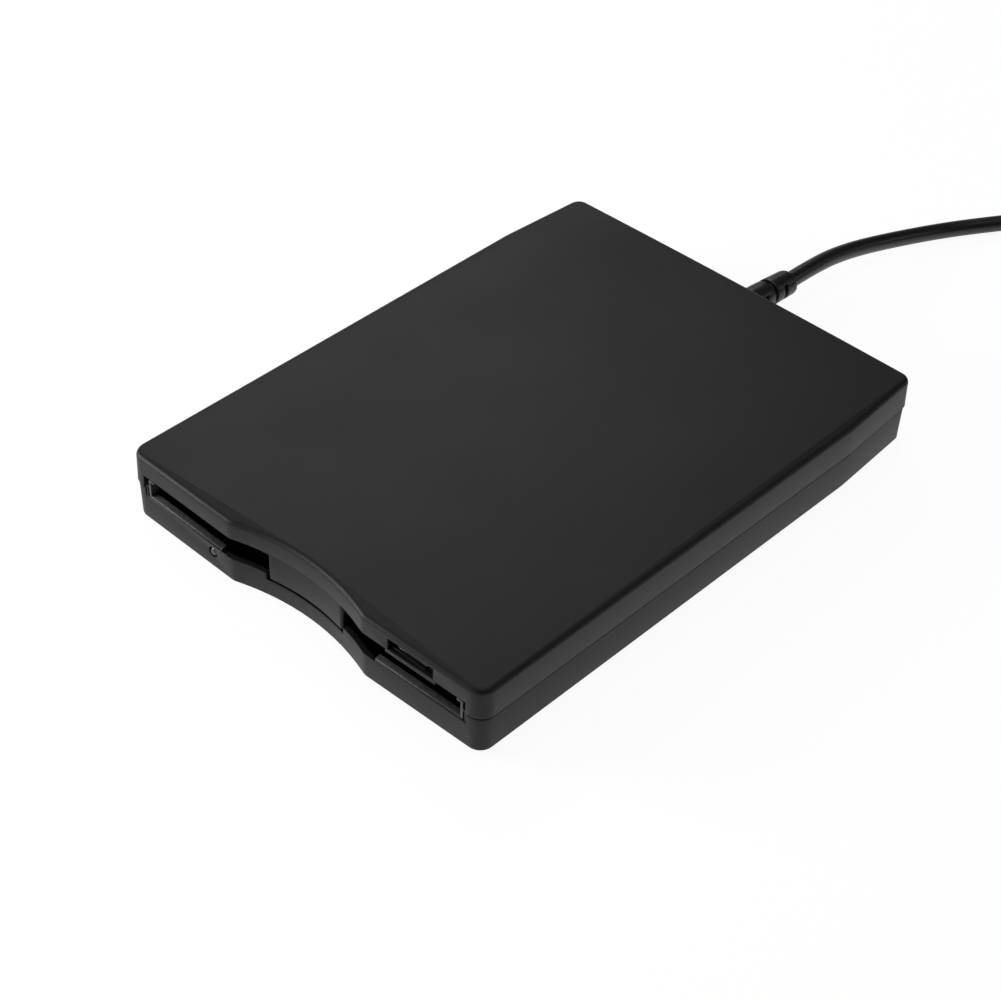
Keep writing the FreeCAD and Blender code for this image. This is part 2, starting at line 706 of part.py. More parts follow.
def usb_board():
    board = box(-32.0, 14.0, 57.2, 66.5, usb_board_z, usb_board_z + usb_board_thick)
    return cut(board, *[post(1.0, x, usb_board_y, 0, 10) for x in usb_post_x])


def usb_parts():
    top = usb_board_z + usb_board_thick
    chip = box(-22.0, -15.0, 58.5, 65.5, top, top + 1.0)
    crystal = box(-11.0, -8.0, 60.0, 65.0, top, top + 1.3)
    header = box(-5.0, 5.0, 59.2, 62.6, top, top + 3.4)
    header = header.cut(box(-4.2, 4.2, 60.0, 63.5, top + 0.8, top + 2.8))
    return Part.makeCompound([chip, crystal, header])


def ribbon_cable():
    """The film that joins the two boards, with its socket."""
    top = usb_board_z + usb_board_thick
    low = board_low - 0.5
    rear = frame_rear + 0.25
    upper = box(ribbon_left, ribbon_right, rear, rear + 2.5, top, top + ribbon_thick)
    drop = box(ribbon_left, ribbon_right, rear, rear + ribbon_thick, low, top + ribbon_thick)
    lower = box(ribbon_left, ribbon_right, 47.0, rear + ribbon_thick, low, low + ribbon_thick)
    socket = box(ribbon_left - 0.5, ribbon_right + 0.5, 47.0, 49.5, low, board_low)
    return join(upper, drop, lower, socket)


def status_led():
    """A round lens with a domed end, flush with the front."""
    front = bow_y(led_x, seam_step + 0.12)
    profile = [(0, front), (0.75, front + 0.12), (1.25, front + 0.6), (1.25, front + 5.0),
               (1.6, front + 5.0), (1.6, front + 6.0), (0, front + 6.0)]
    points = [V(led_x + r, y, led_z) for r, y in profile]
    body = Part.Face(Part.makePolygon(points + points[:1])).revolve(V(led_x, 0, led_z), V(0, 1, 0), 360)
    legs = [rod_y(0.25, led_x + dx, led_z, front + 5.9, front + 9.5) for dx in (-0.8, 0.8)]
    return join(body, *legs)


def door_spring():
    """A torsion spring round the right-hand door pin, with one leg on the flap."""
    x0 = spring_x
    coil = rod_x(1.15, door_pivot_y, door_pivot_z, x0, x0 + 2.0)
    for i in range(4):
        start = x0 + 0.1 + 0.5 * i
        coil = coil.fuse(rod_x(1.3, door_pivot_y, door_pivot_z, start, start + 0.3))
    flap_back = door_pivot_y + door_flap_thick
    leg = box(x0 + 1.6, x0 + 2.0, flap_back, flap_back + 0.3, 10.6, 13.6)
    return join(coil, leg).cut(rod_x(door_pin_radius, door_pivot_y, door_pivot_z, x0 - 1, x0 + 4))


def strain_relief():
    """The moulded sleeve: a flange inside the rear wall, then collars parted by grooves."""
    start = rear_y - seam_lip_inset - seam_lip_thick - 1.3
    end = rear_y + relief_length
    profile = [(0, start), (4.2, start), (4.2, start + 1.2), (cable_hole_radius + 0.3, start + 1.2),
               (cable_hole_radius + 0.3, rear_y + 0.2), (relief_radius, rear_y + 0.2)]
    y = rear_y + 5.0
    radius = relief_radius
    profile.append((radius, y))
    for i in range(4):
        core = radius - 0.75
        profile += [(core, y + 0.05), (core, y + 1.15), (radius, y + 1.2), (radius, y + 3.6)]
        y += 3.6
        radius -= 0.2
    profile += [(relief_tip_radius, end - 0.6), (cord_diameter / 2, end), (0, end)]
    points = [V(r, y, cord_axis_z) for r, y in profile]
    return Part.Face(Part.makePolygon(points + points[:1])).revolve(V(0, 0, cord_axis_z), V(0, 1, 0), 360)


def tangent_path(route):
    """Straight runs joined by arcs, each as large as its two runs allow. Prints the least radius."""
    points = [V(*p) for p in route]
    start = points[0]
    edges = []
    least = 1e9
    for i in range(1, len(points) - 1):
        back = points[i - 1] - points[i]
        ahead = points[i + 1] - points[i]
        reach = 0.45 * min(back.Length, ahead.Length)
        half_turn = (math.pi - back.getAngle(ahead)) / 2
        radius = reach / math.tan(half_turn)
        least = min(least, radius)
        back.normalize()
        ahead.normalize()
        inward = (back + ahead).normalize()
        middle = points[i] + inward * (radius / math.cos(half_turn) - radius)
        begin = points[i] + back * reach
        edges.append(Part.makeLine(start, begin))
        start = points[i] + ahead * reach
        edges.append(Part.Arc(begin, middle, start).toShape())
    edges.append(Part.makeLine(start, points[-1]))
    print("least radius", round(least, 1))
    return Part.Wire(edges)


def tube(path, radius):
    """A cord of eight flats, with the section area of a round one."""
    start = path.Edges[0].valueAt(path.Edges[0].FirstParameter)
    along = path.Edges[0].tangentAt(path.Edges[0].FirstParameter)
    side = along.cross(V(0, 0, 1)).normalize()
    rise = side.cross(along)
    step = 2 * math.pi / cord_flats
    reach = radius * math.sqrt(step / math.sin(step))
    ring = [start + side * (reach * math.cos(step * (i + 0.5))) + rise * (reach * math.sin(step * (i + 0.5)))
            for i in range(cord_flats)]
    solid = path.makePipeShell([Part.makePolygon(ring + ring[:1])], True, False)
    over_section = solid.Volume / (math.pi * radius**2)
    print("length", round(path.Length, 1), "volume over section", round(over_section, 1))
    return solid


def biarc(start, start_way, end, end_way):
    """Two arcs from start to end that meet smoothly and leave along the two given directions."""
    span = end - start
    sway = start_way + end_way
    a = 2 * (1 - start_way.dot(end_way))
    b = span.dot(sway)
    reach = (-b + math.sqrt(b * b + a * span.dot(span))) / a
    middle = (start + start_way * reach + end - end_way * reach) * 0.5
    return [arc_along(start, start_way, middle), arc_along(end, end_way * -1, middle, True)]


def arc_along(start, way, end, reverse=False):
    """The arc from start to end that leaves start along way."""
    chord = end - start
    side = (chord * (1 / chord.Length) + way).normalize()
    half = chord.getAngle(way) / 2
    middle = start + side * (chord.Length / 2 / math.cos(half))
    points = (end, middle, start) if reverse else (start, middle, end)
    return Part.Arc(*points).toShape()


def coil_point(half_turns):
    """A point of the coil and its direction there. It winds clockwise from the rear, in and out again."""
    inward = min(half_turns, coil_layer_half_turns)
    outward = max(0.0, half_turns - coil_layer_half_turns - 1)
    radius = coil_outer - coil_pitch / 2 * (inward - outward)
    angle = math.pi / 2 - math.pi * half_turns
    z = coil_low_z + (coil_pitch if half_turns > coil_layer_half_turns else 0)
    point = V(coil_x + radius * math.cos(angle), coil_y + radius * math.sin(angle), z)
    return point, V(math.sin(angle), -math.cos(angle), 0)


def coil_path():
    first, way = coil_point(0)
    edges = [Part.makeLine(first - way * cord_diameter, first)]
    for i in range(coil_half_turns):
        start, start_way = coil_point(i)
        end, end_way = coil_point(i + 1)
        edges += biarc(start, start_way, end, end_way)
    last, last_way = coil_point(coil_half_turns)
    quarter, quarter_way = coil_point(coil_half_turns + 0.5)
    edges += biarc(last, last_way, quarter, quarter_way)
    edges.append(Part.makeLine(quarter, quarter + quarter_way * cord_diameter))
    return Part.Wire(edges)


def least_gap(path, radius):
    """The least clear distance between stretches of a path that lie more than a quarter turn apart."""
    points = path.discretize(Distance=2.0)
    step = path.Length / (len(points) - 1)
    apart = int(0.5 * math.pi * (coil_outer - coil_layer_half_turns * coil_pitch / 2) / step)
    best = 1e9
    for i in range(len(points)):
        for j in range(i + apart, len(points)):
            best = min(best, (points[i] - points[j]).Length)
    return best - 2 * radius


def cord_coil():
    path = coil_path()
    print("least gap between turns", round(least_gap(path, cord_diameter / 2), 2))
    return tube(path, cord_diameter / 2)


def coil_tie():
    """A strap round all the turns on the near side of the coil."""
    inner_low = coil_low_z - cord_diameter / 2 - 0.05
    inner_high = coil_low_z + coil_pitch + cord_diameter / 2 + 0.1
    near = coil_y - coil_outer - 0.1
    far = coil_y - coil_outer + 2.5 * coil_pitch + 0.2
    strap = 0.55
    outer = box(coil_x - 3, coil_x + 3, near - strap, far + strap, inner_low - strap, inner_high + strap)
    along = [e for e in outer.Edges if abs(e.tangentAt(0).x) > 0.99]
    outer = outer.makeFillet(1.4, along)
    inner = box(coil_x - 4, coil_x + 4, near, far, inner_low, inner_high)
    along = [e for e in inner.Edges if abs(e.tangentAt(0).x) > 0.99]
    return outer.cut(inner.makeFillet(0.9, along))


def rounded_section(width, height, radius, y):
    w = width / 2
    h = height / 2
    flat = rounded_polygon([(w, h, radius), (-w, h, radius), (-w, -h, radius), (w, -h, radius)])
    flat.rotate(V(0, 0, 0), V(1, 0, 0), 90)
    flat.translate(V(plug_x, y, plug_z))
    return flat


def plug_body():
    """The moulded grip, narrower at the cord, with two collars on the cord."""
    back = plug_y - plug_relief
    section = Part.Face(rounded_section(plug_width, plug_height, 2.0, plug_front))
    grip = section.extrude(V(0, plug_length, 0))
    rear = [e for e in grip.Edges if all(abs(v.Y - back) < 1e-4 for v in e.Vertexes)]
    grip = grip.makeChamfer(1.9, rear)
    profile = [(0, back - 1), (3.1, back - 1), (3.1, back + 1.2), (2.5, back + 1.3), (2.5, back + 2.5),
               (2.9, back + 2.6), (2.9, back + 4.4), (2.4, back + 4.5), (2.4, back + 5.6), (2.7, back + 5.7),
               (2.6, plug_y - 0.5), (2.1, plug_y), (0, plug_y)]
    points = [V(plug_x + r, y, plug_z) for r, y in profile]
    relief = Part.Face(Part.makePolygon(points + points[:1])).revolve(V(plug_x, 0, plug_z), V(0, 1, 0), 360)
    shape = join(grip, relief)
    for side in (-1, 1):
        for i in range(3):
            y = plug_front + 6.0 + 2.4 * i
            x = plug_x + side * plug_width / 2
            shape = shape.cut(box(x - 0.5, x + 0.5, y, y + 1.1, plug_z - 2.4, plug_z + 2.4))
    return shape


def plug_shell():
    left = plug_x - shell_width / 2
    right = plug_x + shell_width / 2
    low = plug_z - shell_height / 2
    high = plug_z + shell_height / 2
    tip = plug_front - shell_length
    outer = box(left, right, tip, plug_front, low, high)
    inner = box(left + shell_sheet, right - shell_sheet, tip - 1, plug_front - 0.3,
                low + shell_sheet, high - shell_sheet)
    shape = outer.cut(inner)
    for x in (plug_x - 3.0, plug_x + 3.0):
        y = plug_front - 6.5
        shape = shape.cut(box(x - 1.25, x + 1.25, y, y + 2.2, low - 1, high + 1))
    return shape


def plug_insert():
    """The tongue that carries the contacts, in the upper half of the shell."""
    w = shell_width / 2 - shell_sheet
    high = plug_z + shell_height / 2 - shell_sheet
    return box(plug_x - w, plug_x + w, plug_front - shell_length + 0.4, plug_front - 0.3, plug_z + 0.05, high)


def plug_contacts():
    tip = plug_front - shell_length
    pads = []
    for x, setback in ((-3.5, 0.9), (-1.0, 1.9), (1.0, 1.9), (3.5, 0.9)):
        middle = plug_x + x
        y0 = tip + setback
        pads.append(box(middle - 0.5, middle + 0.5, y0, plug_front - 1.0, plug_z - 0.15, plug_z + 0.05))
    return Part.makeCompound(pads)


def main():
    os.makedirs("parts", exist_ok=True)
    export("top_cover", top_cover())
    export("bottom_cover", bottom_cover())
    export("rubber_feet", rubber_feet())
    export("case_screws", case_screws())
    export("frame_screws", frame_screws())
    export("right_slot_guide", slot_guide())
    export("left_slot_guide", left_slot_guide())
    export("dust_door", dust_door())
    export("door_pad", door_pad())
    export("door_spring", door_spring())
    export("eject_button", eject_button())
    export("eject_slider", eject_slider())
    export("disk_carrier", disk_carrier())
    export("eject_lever", eject_lever())
    export("eject_springs", eject_springs())
    export("chassis_frame", chassis_frame())
    export("drive_top_plate", drive_top_plate())
    export("guide_rods", guide_rods())
    export("head_carriage", head_carriage())
    export("lower_head", lower_head())
    export("upper_head_arm", upper_head_arm())
    export("upper_head", upper_head())
    export("lead_screw", lead_screw())
    export("stepper_motor", stepper_motor())
    export("spindle_stator", spindle_stator())
    export("spindle_rotor", spindle_rotor())
    for name, (x, y) in switch_places.items():
        export(name + "_switch", switch_body(x, y))
        export(name + "_plunger", plunger(name))
    export("main_board", main_board())
    export("board_chips", board_chips())
    export("usb_board", usb_board())
    export("usb_parts", usb_parts())
    export("ribbon_cable", ribbon_cable())
    export("status_led", status_led())
    export("strain_relief", strain_relief())
    export("usb_cord", tube(tangent_path(exit_route), cord_diameter / 2))
    export("cord_coil", cord_coil())
    export("cord_tail", tube(tangent_path(tail_route), cord_diameter / 2))
    export("coil_tie", coil_tie())
    export("plug_body", plug_body())
    export("plug_shell", plug_shell())
    export("plug_insert", plug_insert())
    export("plug_contacts", plug_contacts())


main()
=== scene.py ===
import bpy
import json
import math
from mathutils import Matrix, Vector


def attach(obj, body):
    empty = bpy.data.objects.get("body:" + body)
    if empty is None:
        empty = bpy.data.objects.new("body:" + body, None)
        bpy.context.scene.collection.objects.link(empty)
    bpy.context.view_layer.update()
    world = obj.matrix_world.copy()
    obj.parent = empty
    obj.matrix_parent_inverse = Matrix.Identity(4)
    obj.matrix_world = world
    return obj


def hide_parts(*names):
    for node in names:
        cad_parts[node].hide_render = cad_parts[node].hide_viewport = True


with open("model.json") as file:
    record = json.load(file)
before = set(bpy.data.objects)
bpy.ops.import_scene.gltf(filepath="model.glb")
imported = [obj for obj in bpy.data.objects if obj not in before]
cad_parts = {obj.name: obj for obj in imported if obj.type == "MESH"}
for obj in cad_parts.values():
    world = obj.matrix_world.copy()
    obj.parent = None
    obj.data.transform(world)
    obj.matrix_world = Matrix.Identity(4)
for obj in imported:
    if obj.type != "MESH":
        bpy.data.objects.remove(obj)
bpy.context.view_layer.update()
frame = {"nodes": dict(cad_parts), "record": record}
nodes = frame["nodes"]
mm = 0.001
touch = 0.01      # how near counts as on a face, in millimetres
print("frame loaded:", len(nodes), "nodes")


def deselectAll():
    if bpy.context.object and bpy.context.object.mode != "OBJECT":
        bpy.ops.object.mode_set(mode="OBJECT")
    bpy.ops.object.select_all(action="DESELECT")


def pick(piece):
    deselectAll()
    piece.select_set(True)
    bpy.context.view_layer.objects.active = piece


def applyPlace(piece):
    pick(piece)
    bpy.ops.object.transform_apply(location=True, rotation=True, scale=True)


def setMaterial(piece, material):
    piece.data.materials.clear()
    piece.data.materials.append(material)


def joinPieces(name, pieces):
    pick(pieces[0])
    for piece in pieces[1:]:
        piece.select_set(True)
    bpy.ops.object.join()
    joined = bpy.context.object
    joined.name = name
    return joined


def selectVerts(piece, test):     # test takes a place in millimetres
    bpy.ops.object.mode_set(mode="EDIT")
    bpy.ops.mesh.select_mode(type="VERT")
    bpy.ops.mesh.select_all(action="DESELECT")
    bpy.ops.object.mode_set(mode="OBJECT")
    for vertex in piece.data.vertices:
        vertex.select = test(*(vertex.co / mm))
    bpy.ops.object.mode_set(mode="EDIT")


def moveVerts(piece, test, shift):
    selectVerts(piece, test)
    bpy.ops.transform.translate(value=[s * mm for s in shift])
    bpy.ops.object.mode_set(mode="OBJECT")


def widenVerts(piece, test, factor):      # scales along X about the middle of the case
    selectVerts(piece, test)
    bpy.ops.transform.resize(value=(factor, 1, 1), center_override=(0, 0, 0))
    bpy.ops.object.mode_set(mode="OBJECT")


def softenEdges(piece, width, segments=3):
    pick(piece)
    bevel = piece.modifiers.new("edge", "BEVEL")
    bevel.width = width * mm
    bevel.segments = segments
    bevel.limit_method = "ANGLE"
    bevel.angle_limit = math.radians(40)
    bpy.ops.object.modifier_apply(modifier="edge")
    bpy.ops.object.shade_smooth_by_angle(angle=math.radians(30))


def mergedCopy(nodeName, pieceName):
    piece = nodes[nodeName].copy()
    piece.data = nodes[nodeName].data.copy()
    piece.name = pieceName
    bpy.context.scene.collection.objects.link(piece)
    for key in list(piece.keys()):
        del piece[key]
    piece.parent = None
    pick(piece)
    bpy.ops.object.mode_set(mode="EDIT")
    bpy.ops.mesh.select_all(action="SELECT")
    bpy.ops.mesh.remove_doubles(threshold=0.002 * mm)
    bpy.ops.mesh.dissolve_limited(angle_limit=math.radians(0.8))
    bpy.ops.object.mode_set(mode="OBJECT")
    return piece


def blockPiece(name, low, high):          # a cube from its lowest to its highest corner, in millimetres
    deselectAll()
    middle = [(a + b) / 2 * mm for a, b in zip(low, high)]
    bpy.ops.mesh.primitive_cube_add(size=1, location=middle, scale=[(b - a) * mm for a, b in zip(low, high)])
    piece = bpy.context.object
    piece.name = name
    applyPlace(piece)
    return piece


def cutAcross(piece, height):             # an edge loop all round at this height
    pick(piece)
    bpy.ops.object.mode_set(mode="EDIT")
    bpy.ops.mesh.select_all(action="SELECT")
    bpy.ops.mesh.bisect(plane_co=(0, 0, height * mm), plane_no=(0, 0, 1))
    bpy.ops.object.mode_set(mode="OBJECT")


def dress(piece, material, body, *replaced):
    setMaterial(piece, material)
    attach(piece, body)
    if replaced:
        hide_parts(*replaced)


def newMaterial(name):
    material = bpy.data.materials.new(name)
    material.use_nodes = True
    tree = material.node_tree
    return material, tree, tree.nodes["Principled BSDF"]


def noiseOn(tree, coords, scale, detail=2, stretch=(1, 1, 1)):
    mapping = tree.nodes.new("ShaderNodeMapping")
    mapping.inputs["Scale"].default_value = stretch
    noise = tree.nodes.new("ShaderNodeTexNoise")
    noise.inputs["Scale"].default_value = scale
    noise.inputs["Detail"].default_value = detail
    tree.links.new(coords.outputs["Object"], mapping.inputs["Vector"])
    tree.links.new(mapping.outputs["Vector"], noise.inputs["Vector"])
    return noise


def rangeOf(tree, source, low, high):
    spread = tree.nodes.new("ShaderNodeMapRange")
    spread.inputs["From Min"].default_value = 0.3
    spread.inputs["From Max"].default_value = 0.7
    spread.inputs["To Min"].default_value = low
    spread.inputs["To Max"].default_value = high
    tree.links.new(source.outputs["Fac"], spread.inputs["Value"])
    return spread


def tintBetween(tree, source, low, high):
    tint = tree.nodes.new("ShaderNodeMix")
    tint.data_type = "RGBA"
    tint.inputs["A"].default_value = (*low, 1)
    tint.inputs["B"].default_value = (*high, 1)
    tree.links.new(source.outputs["Fac"], tint.inputs["Factor"])
    return tint


def mouldedPlastic(name, color, roughness, grainSize, grainDepth, vary=0.12, shine=0.25):
    material, tree, shader = newMaterial(name)
    coords = tree.nodes.new("ShaderNodeTexCoord")
    shader.inputs["Specular IOR Level"].default_value = shine
    grain = noiseOn(tree, coords, 1 / (grainSize * mm), 3)      # spark-eroded mould grain
    cloud = noiseOn(tree, coords, 45)                           # slow change of polish over the part
    bump = tree.nodes.new("ShaderNodeBump")
    bump.inputs["Strength"].default_value = 0.6
    bump.inputs["Distance"].default_value = grainDepth * mm
    tree.links.new(grain.outputs["Fac"], bump.inputs["Height"])
    tree.links.new(bump.outputs["Normal"], shader.inputs["Normal"])
    polish = rangeOf(tree, cloud, roughness - 0.015, roughness + 0.015)
    tree.links.new(polish.outputs["Result"], shader.inputs["Roughness"])
    tint = tintBetween(tree, grain, [c * (1 - vary) for c in color], [c * (1 + vary) for c in color])
    tree.links.new(tint.outputs["Result"], shader.inputs["Base Color"])
    return material


def workedMetal(name, color, roughness, stretch=(1, 1, 1), scale=400):
    material, tree, shader = newMaterial(name)
    shader.inputs["Metallic"].default_value = 1
    coords = tree.nodes.new("ShaderNodeTexCoord")
    streaks = noiseOn(tree, coords, scale, 3, stretch)
    polish = rangeOf(tree, streaks, roughness * 0.75, roughness * 1.3)
    tree.links.new(polish.outputs["Result"], shader.inputs["Roughness"])
    tint = tintBetween(tree, streaks, [c * 0.88 for c in color], color)
    tree.links.new(tint.outputs["Result"], shader.inputs["Base Color"])
    return material


caseFinish = {"color": (0.0165, 0.0165, 0.017), "roughness": 0.47, "grainSize": 0.22, "grainDepth": 0.035}
casePlastic = mouldedPlastic("casePlastic", **caseFinish)
# sill plastic made much lighter than the case as painted light: the raised colour stands in for the front
# light falling on the sill's slope
sillPlasticPaintedLight = mouldedPlastic("sillPlasticPaintedLight", (0.075, 0.075, 0.075), 0.4, 0.7, 0.3, 0.45, 0.5)
# black button plastic, darkened below the case as painted shade for the shadowed face in the button's recess
buttonPlasticPaintedShade = mouldedPlastic("buttonPlasticPaintedShade", (0.004, 0.004, 0.004), 0.22, 0.5, 0.004, 0.12, 0.5)
# black dust-door plastic, darkened far below the case as painted shade for the deep shadow inside the slot
doorPlasticPaintedShade = mouldedPlastic("doorPlasticPaintedShade", (0.003, 0.003, 0.003), 0.6, 0.3, 0.05)
feetRubber = mouldedPlastic("feetRubber", (0.012, 0.012, 0.012), 0.8, 0.4, 0.08)
cordVinyl = mouldedPlastic("cordVinyl", (0.017, 0.017, 0.0175), 0.38, 0.9, 0.02, 0.12, 0.5)
blackSteel = workedMetal("blackSteel", (0.03, 0.03, 0.032), 0.35)
zincSteel = workedMetal("zincSteel", (0.62, 0.62, 0.6), 0.3, (1, 8, 1), 60)
groundSteel = workedMetal("groundSteel", (0.7, 0.7, 0.7), 0.16, (1, 20, 20))
nickel = workedMetal("nickel", (0.72, 0.71, 0.69), 0.2, (20, 1, 1))
gold = workedMetal("gold", (0.83, 0.6, 0.22), 0.22)
boardGreen = mouldedPlastic("boardGreen", (0.01, 0.07, 0.03), 0.35, 1.2, 0.02, 0.3)
chipEpoxy = mouldedPlastic("chipEpoxy", (0.012, 0.012, 0.012), 0.55, 0.3, 0.04)
acetal = mouldedPlastic("acetal", (0.72, 0.71, 0.66), 0.4, 0.9, 0.02, 0.04)
ribbonFilm = mouldedPlastic("ribbonFilm", (0.7, 0.7, 0.66), 0.3, 1.4, 0.01, 0.05)
lensPlastic = mouldedPlastic("lensPlastic", (0.012, 0.014, 0.012), 0.1, 2.0, 0.002, 0.12, 0.5)
headCeramic = mouldedPlastic("headCeramic", (0.05, 0.05, 0.05), 0.15, 1.4, 0.004)

finishes = {
    "case_plastic": casePlastic, "door_plastic": doorPlasticPaintedShade, "rubber": feetRubber, "cord_jacket": cordVinyl,
    "steel": zincSteel, "shaft_steel": groundSteel, "black_screw": blackSteel, "board": boardGreen,
    "chip": chipEpoxy, "white_plastic": acetal, "ribbon": ribbonFilm, "lens": lensPlastic,
    "ceramic": headCeramic, "gold": gold, "plug_metal": nickel,
}
for subpart in frame["record"]["subparts"]:
    setMaterial(nodes[subpart["node"]], finishes[subpart["material_slot"]])
print("materials done:", len(finishes))

cameraSettings = {
    "place": (0.26782, -0.30553, 0.33992),
    "turnDegrees": (49.4211, -1.6017, 43.5411),
    "lens": 85.146,
    "sensor": 36,
    "nearest": 0.01,
}
cameraData = bpy.data.cameras.new("photoCamera")
cameraData.lens = cameraSettings["lens"]
cameraData.sensor_width = cameraSettings["sensor"]
cameraData.clip_start = cameraSettings["nearest"]
camera = bpy.data.objects.new("photoCamera", cameraData)
camera.location = cameraSettings["place"]
camera.rotation_euler = [math.radians(a) for a in cameraSettings["turnDegrees"]]
bpy.context.scene.collection.objects.link(camera)
bpy.context.scene.camera = camera
print("camera placed")

usbCord = {
    "radius": 2.05,
    "length": 0.72,
    "toCoil": [
        (1.1, 88.6, 9.1), (1.2, 100.5, 9.1), (1.5, 113.5, 7.0), (4.0, 127.8, 4.4), (9.4, 145.0, 2.1),
        (17.8, 158.3, 2.1), (24.2, 167.6, 2.1), (41.0, 178.6, 2.7),
    ],
    "toPlug": [(89.65, 138.0, 8.1), (89.65, 124.0, 4.6), (89.65, 114.5, 4.6)],
    "coilMiddle": (64.0, 151.6),
    "coilRadius": 27.0,
    "pitch": 5.4,
    "lowTurn": 2.7,
    "pointsPerTurn": 16,
    "halfTurnsIn": 4,       # down in the first layer, before the rise to the second
    "halfTurns": 8.5,
    "outside": 1.0095,      # the spline runs inside its own points by this much
}


def coilPoints(cord):       # two turns in, up to the second layer, and two turns out
    points = []
    perHalf = cord["pointsPerTurn"] // 2
    middleX, middleY = cord["coilMiddle"]
    turnIn = cord["halfTurnsIn"]
    for step in range(-1, int(cord["halfTurns"] * perHalf) + 2):
        halfTurns = step / perHalf
        inward = min(max(halfTurns, 0), turnIn)
        outward = max(0, halfTurns - turnIn - 1)
        lift = min(max(halfTurns - turnIn, 0), 1)
        radius = (cord["coilRadius"] - cord["pitch"] / 2 * (inward - outward)) * cord["outside"]
        angle = math.pi / 2 - math.pi * halfTurns
        height = cord["lowTurn"] + cord["pitch"] * lift
        points.append((middleX + radius * math.cos(angle), middleY + radius * math.sin(angle), height))
    return points


cordPoints = usbCord["toCoil"] + coilPoints(usbCord) + usbCord["toPlug"]
curve = bpy.data.curves.new("usbCable", "CURVE")
curve.dimensions = "3D"
curve.bevel_depth = usbCord["radius"] * mm
curve.bevel_resolution = 6
curve.resolution_u = 8
curve.use_fill_caps = True
line = curve.splines.new("NURBS")
line.points.add(len(cordPoints) - 1)
for point, place in zip(line.points, cordPoints):
    point.co = (*[p * mm for p in place], 1)
line.order_u = 3
line.use_endpoint_u = True
usbCable = bpy.data.objects.new("usbCable", curve)
bpy.context.scene.collection.objects.link(usbCable)
curve.materials.append(cordVinyl)
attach(usbCable, "case")
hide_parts("usb_cord", "cord_coil", "cord_tail")

strainRelief = {
    "wallY": 71.4,
    "height": 9.1,
    "length": 18.4,
    "baseRadius": 3.75,
    "tipRadius": 3.2,
    "neckRadius": 2.9,
    "grooveRadius": 2.7,
    "grooveWidth": 1.2,
    "rings": (3.7, 10.7),           # full grooves, from the wall
    "sideSlots": (7.2, 14.2),       # short slots in both sides
    "sideSlotReach": 2.2,
    "sideSlotHeight": 4.2,
    "sideSlotEnd": 5,
    "foot": 0.12,                   # where the sleeve starts outside the wall
    "inWall": 0.9,
    "ringStep": 1.5,                # between the loops that let it bend
    "longRun": 2.0,                 # a longer run than this gets such loops
    "bendPower": 1.6,
    "tipRound": 0.8,
    "tipSteps": ((0.8, 0), (0.35, 0.15), (0.08, 0.45), (0, 0.85)),      # back from the end, in from the side
    "edge": 0.14,
    "bend": 1.1,                    # the cord pulls the tip aside
    "facets": 48,
}


def reliefProfile(relief):
    slope = (relief["baseRadius"] - relief["tipRadius"]) / relief["length"]
    along = relief["foot"]
    profile = [(-relief["inWall"], relief["neckRadius"]), (along, relief["neckRadius"]),
               (along, relief["baseRadius"])]
    for middle in relief["rings"]:
        start = middle - relief["grooveWidth"] / 2
        while start - along > relief["longRun"]:
            along += relief["ringStep"]
            profile.append((along, relief["baseRadius"] - slope * along))
        along = middle + relief["grooveWidth"] / 2
        profile += [(start, relief["baseRadius"] - slope * start), (start, relief["grooveRadius"]),
                    (along, relief["grooveRadius"]), (along, relief["baseRadius"] - slope * along)]
    while relief["length"] - relief["tipRound"] - along > relief["ringStep"]:
        along += relief["ringStep"]
        profile.append((along, relief["baseRadius"] - slope * along))
    tip = relief["tipRadius"]
    end = relief["length"]
    return profile + [(end - back, tip - inward) for back, inward in relief["tipSteps"]]


def bendAt(relief, along):      # how far the sleeve stands aside, from the wall to its tip
    return relief["bend"] * (max(along, 0) / relief["length"]) ** relief["bendPower"]


def turnedPiece(name, relief):
    profile = reliefProfile(relief)
    centres = [(bendAt(relief, along), relief["wallY"] + along, relief["height"]) for along, radius in profile]
    deselectAll()
    bpy.ops.mesh.primitive_circle_add(vertices=relief["facets"], radius=profile[0][1] * mm, fill_type="NGON",
                                      location=[c * mm for c in centres[0]], rotation=(math.pi / 2, 0, 0))
    piece = bpy.context.object
    piece.name = name
    applyPlace(piece)
    bpy.ops.object.mode_set(mode="EDIT")
    bpy.ops.mesh.select_all(action="SELECT")
    for i in range(1, len(profile)):
        step = [(b - a) * mm for a, b in zip(centres[i - 1], centres[i])]
        bpy.ops.mesh.extrude_region_move(TRANSFORM_OT_translate={"value": step})
        grow = profile[i][1] / profile[i - 1][1]
        bpy.ops.transform.resize(value=(grow, 1, grow), center_override=[c * mm for c in centres[i]])
    bpy.ops.mesh.select_all(action="SELECT")
    bpy.ops.mesh.normals_make_consistent(inside=False)
    bpy.ops.object.mode_set(mode="OBJECT")
    return piece


def cutSideSlot(piece, relief, along, side):
    aside = bendAt(relief, along)
    near = aside + side * relief["sideSlotReach"]
    far = aside + side * relief["sideSlotEnd"]
    y = relief["wallY"] + along
    halfWidth = relief["grooveWidth"] / 2
    halfHeight = relief["sideSlotHeight"] / 2
    cutter = blockPiece("slotCutter", (min(near, far), y - halfWidth, relief["height"] - halfHeight),
                        (max(near, far), y + halfWidth, relief["height"] + halfHeight))
    pick(piece)
    slotCut = piece.modifiers.new("slot", "BOOLEAN")
    slotCut.object = cutter
    slotCut.operation = "DIFFERENCE"
    slotCut.solver = "EXACT"
    bpy.ops.object.modifier_apply(modifier="slot")
    bpy.data.objects.remove(cutter, do_unlink=True)


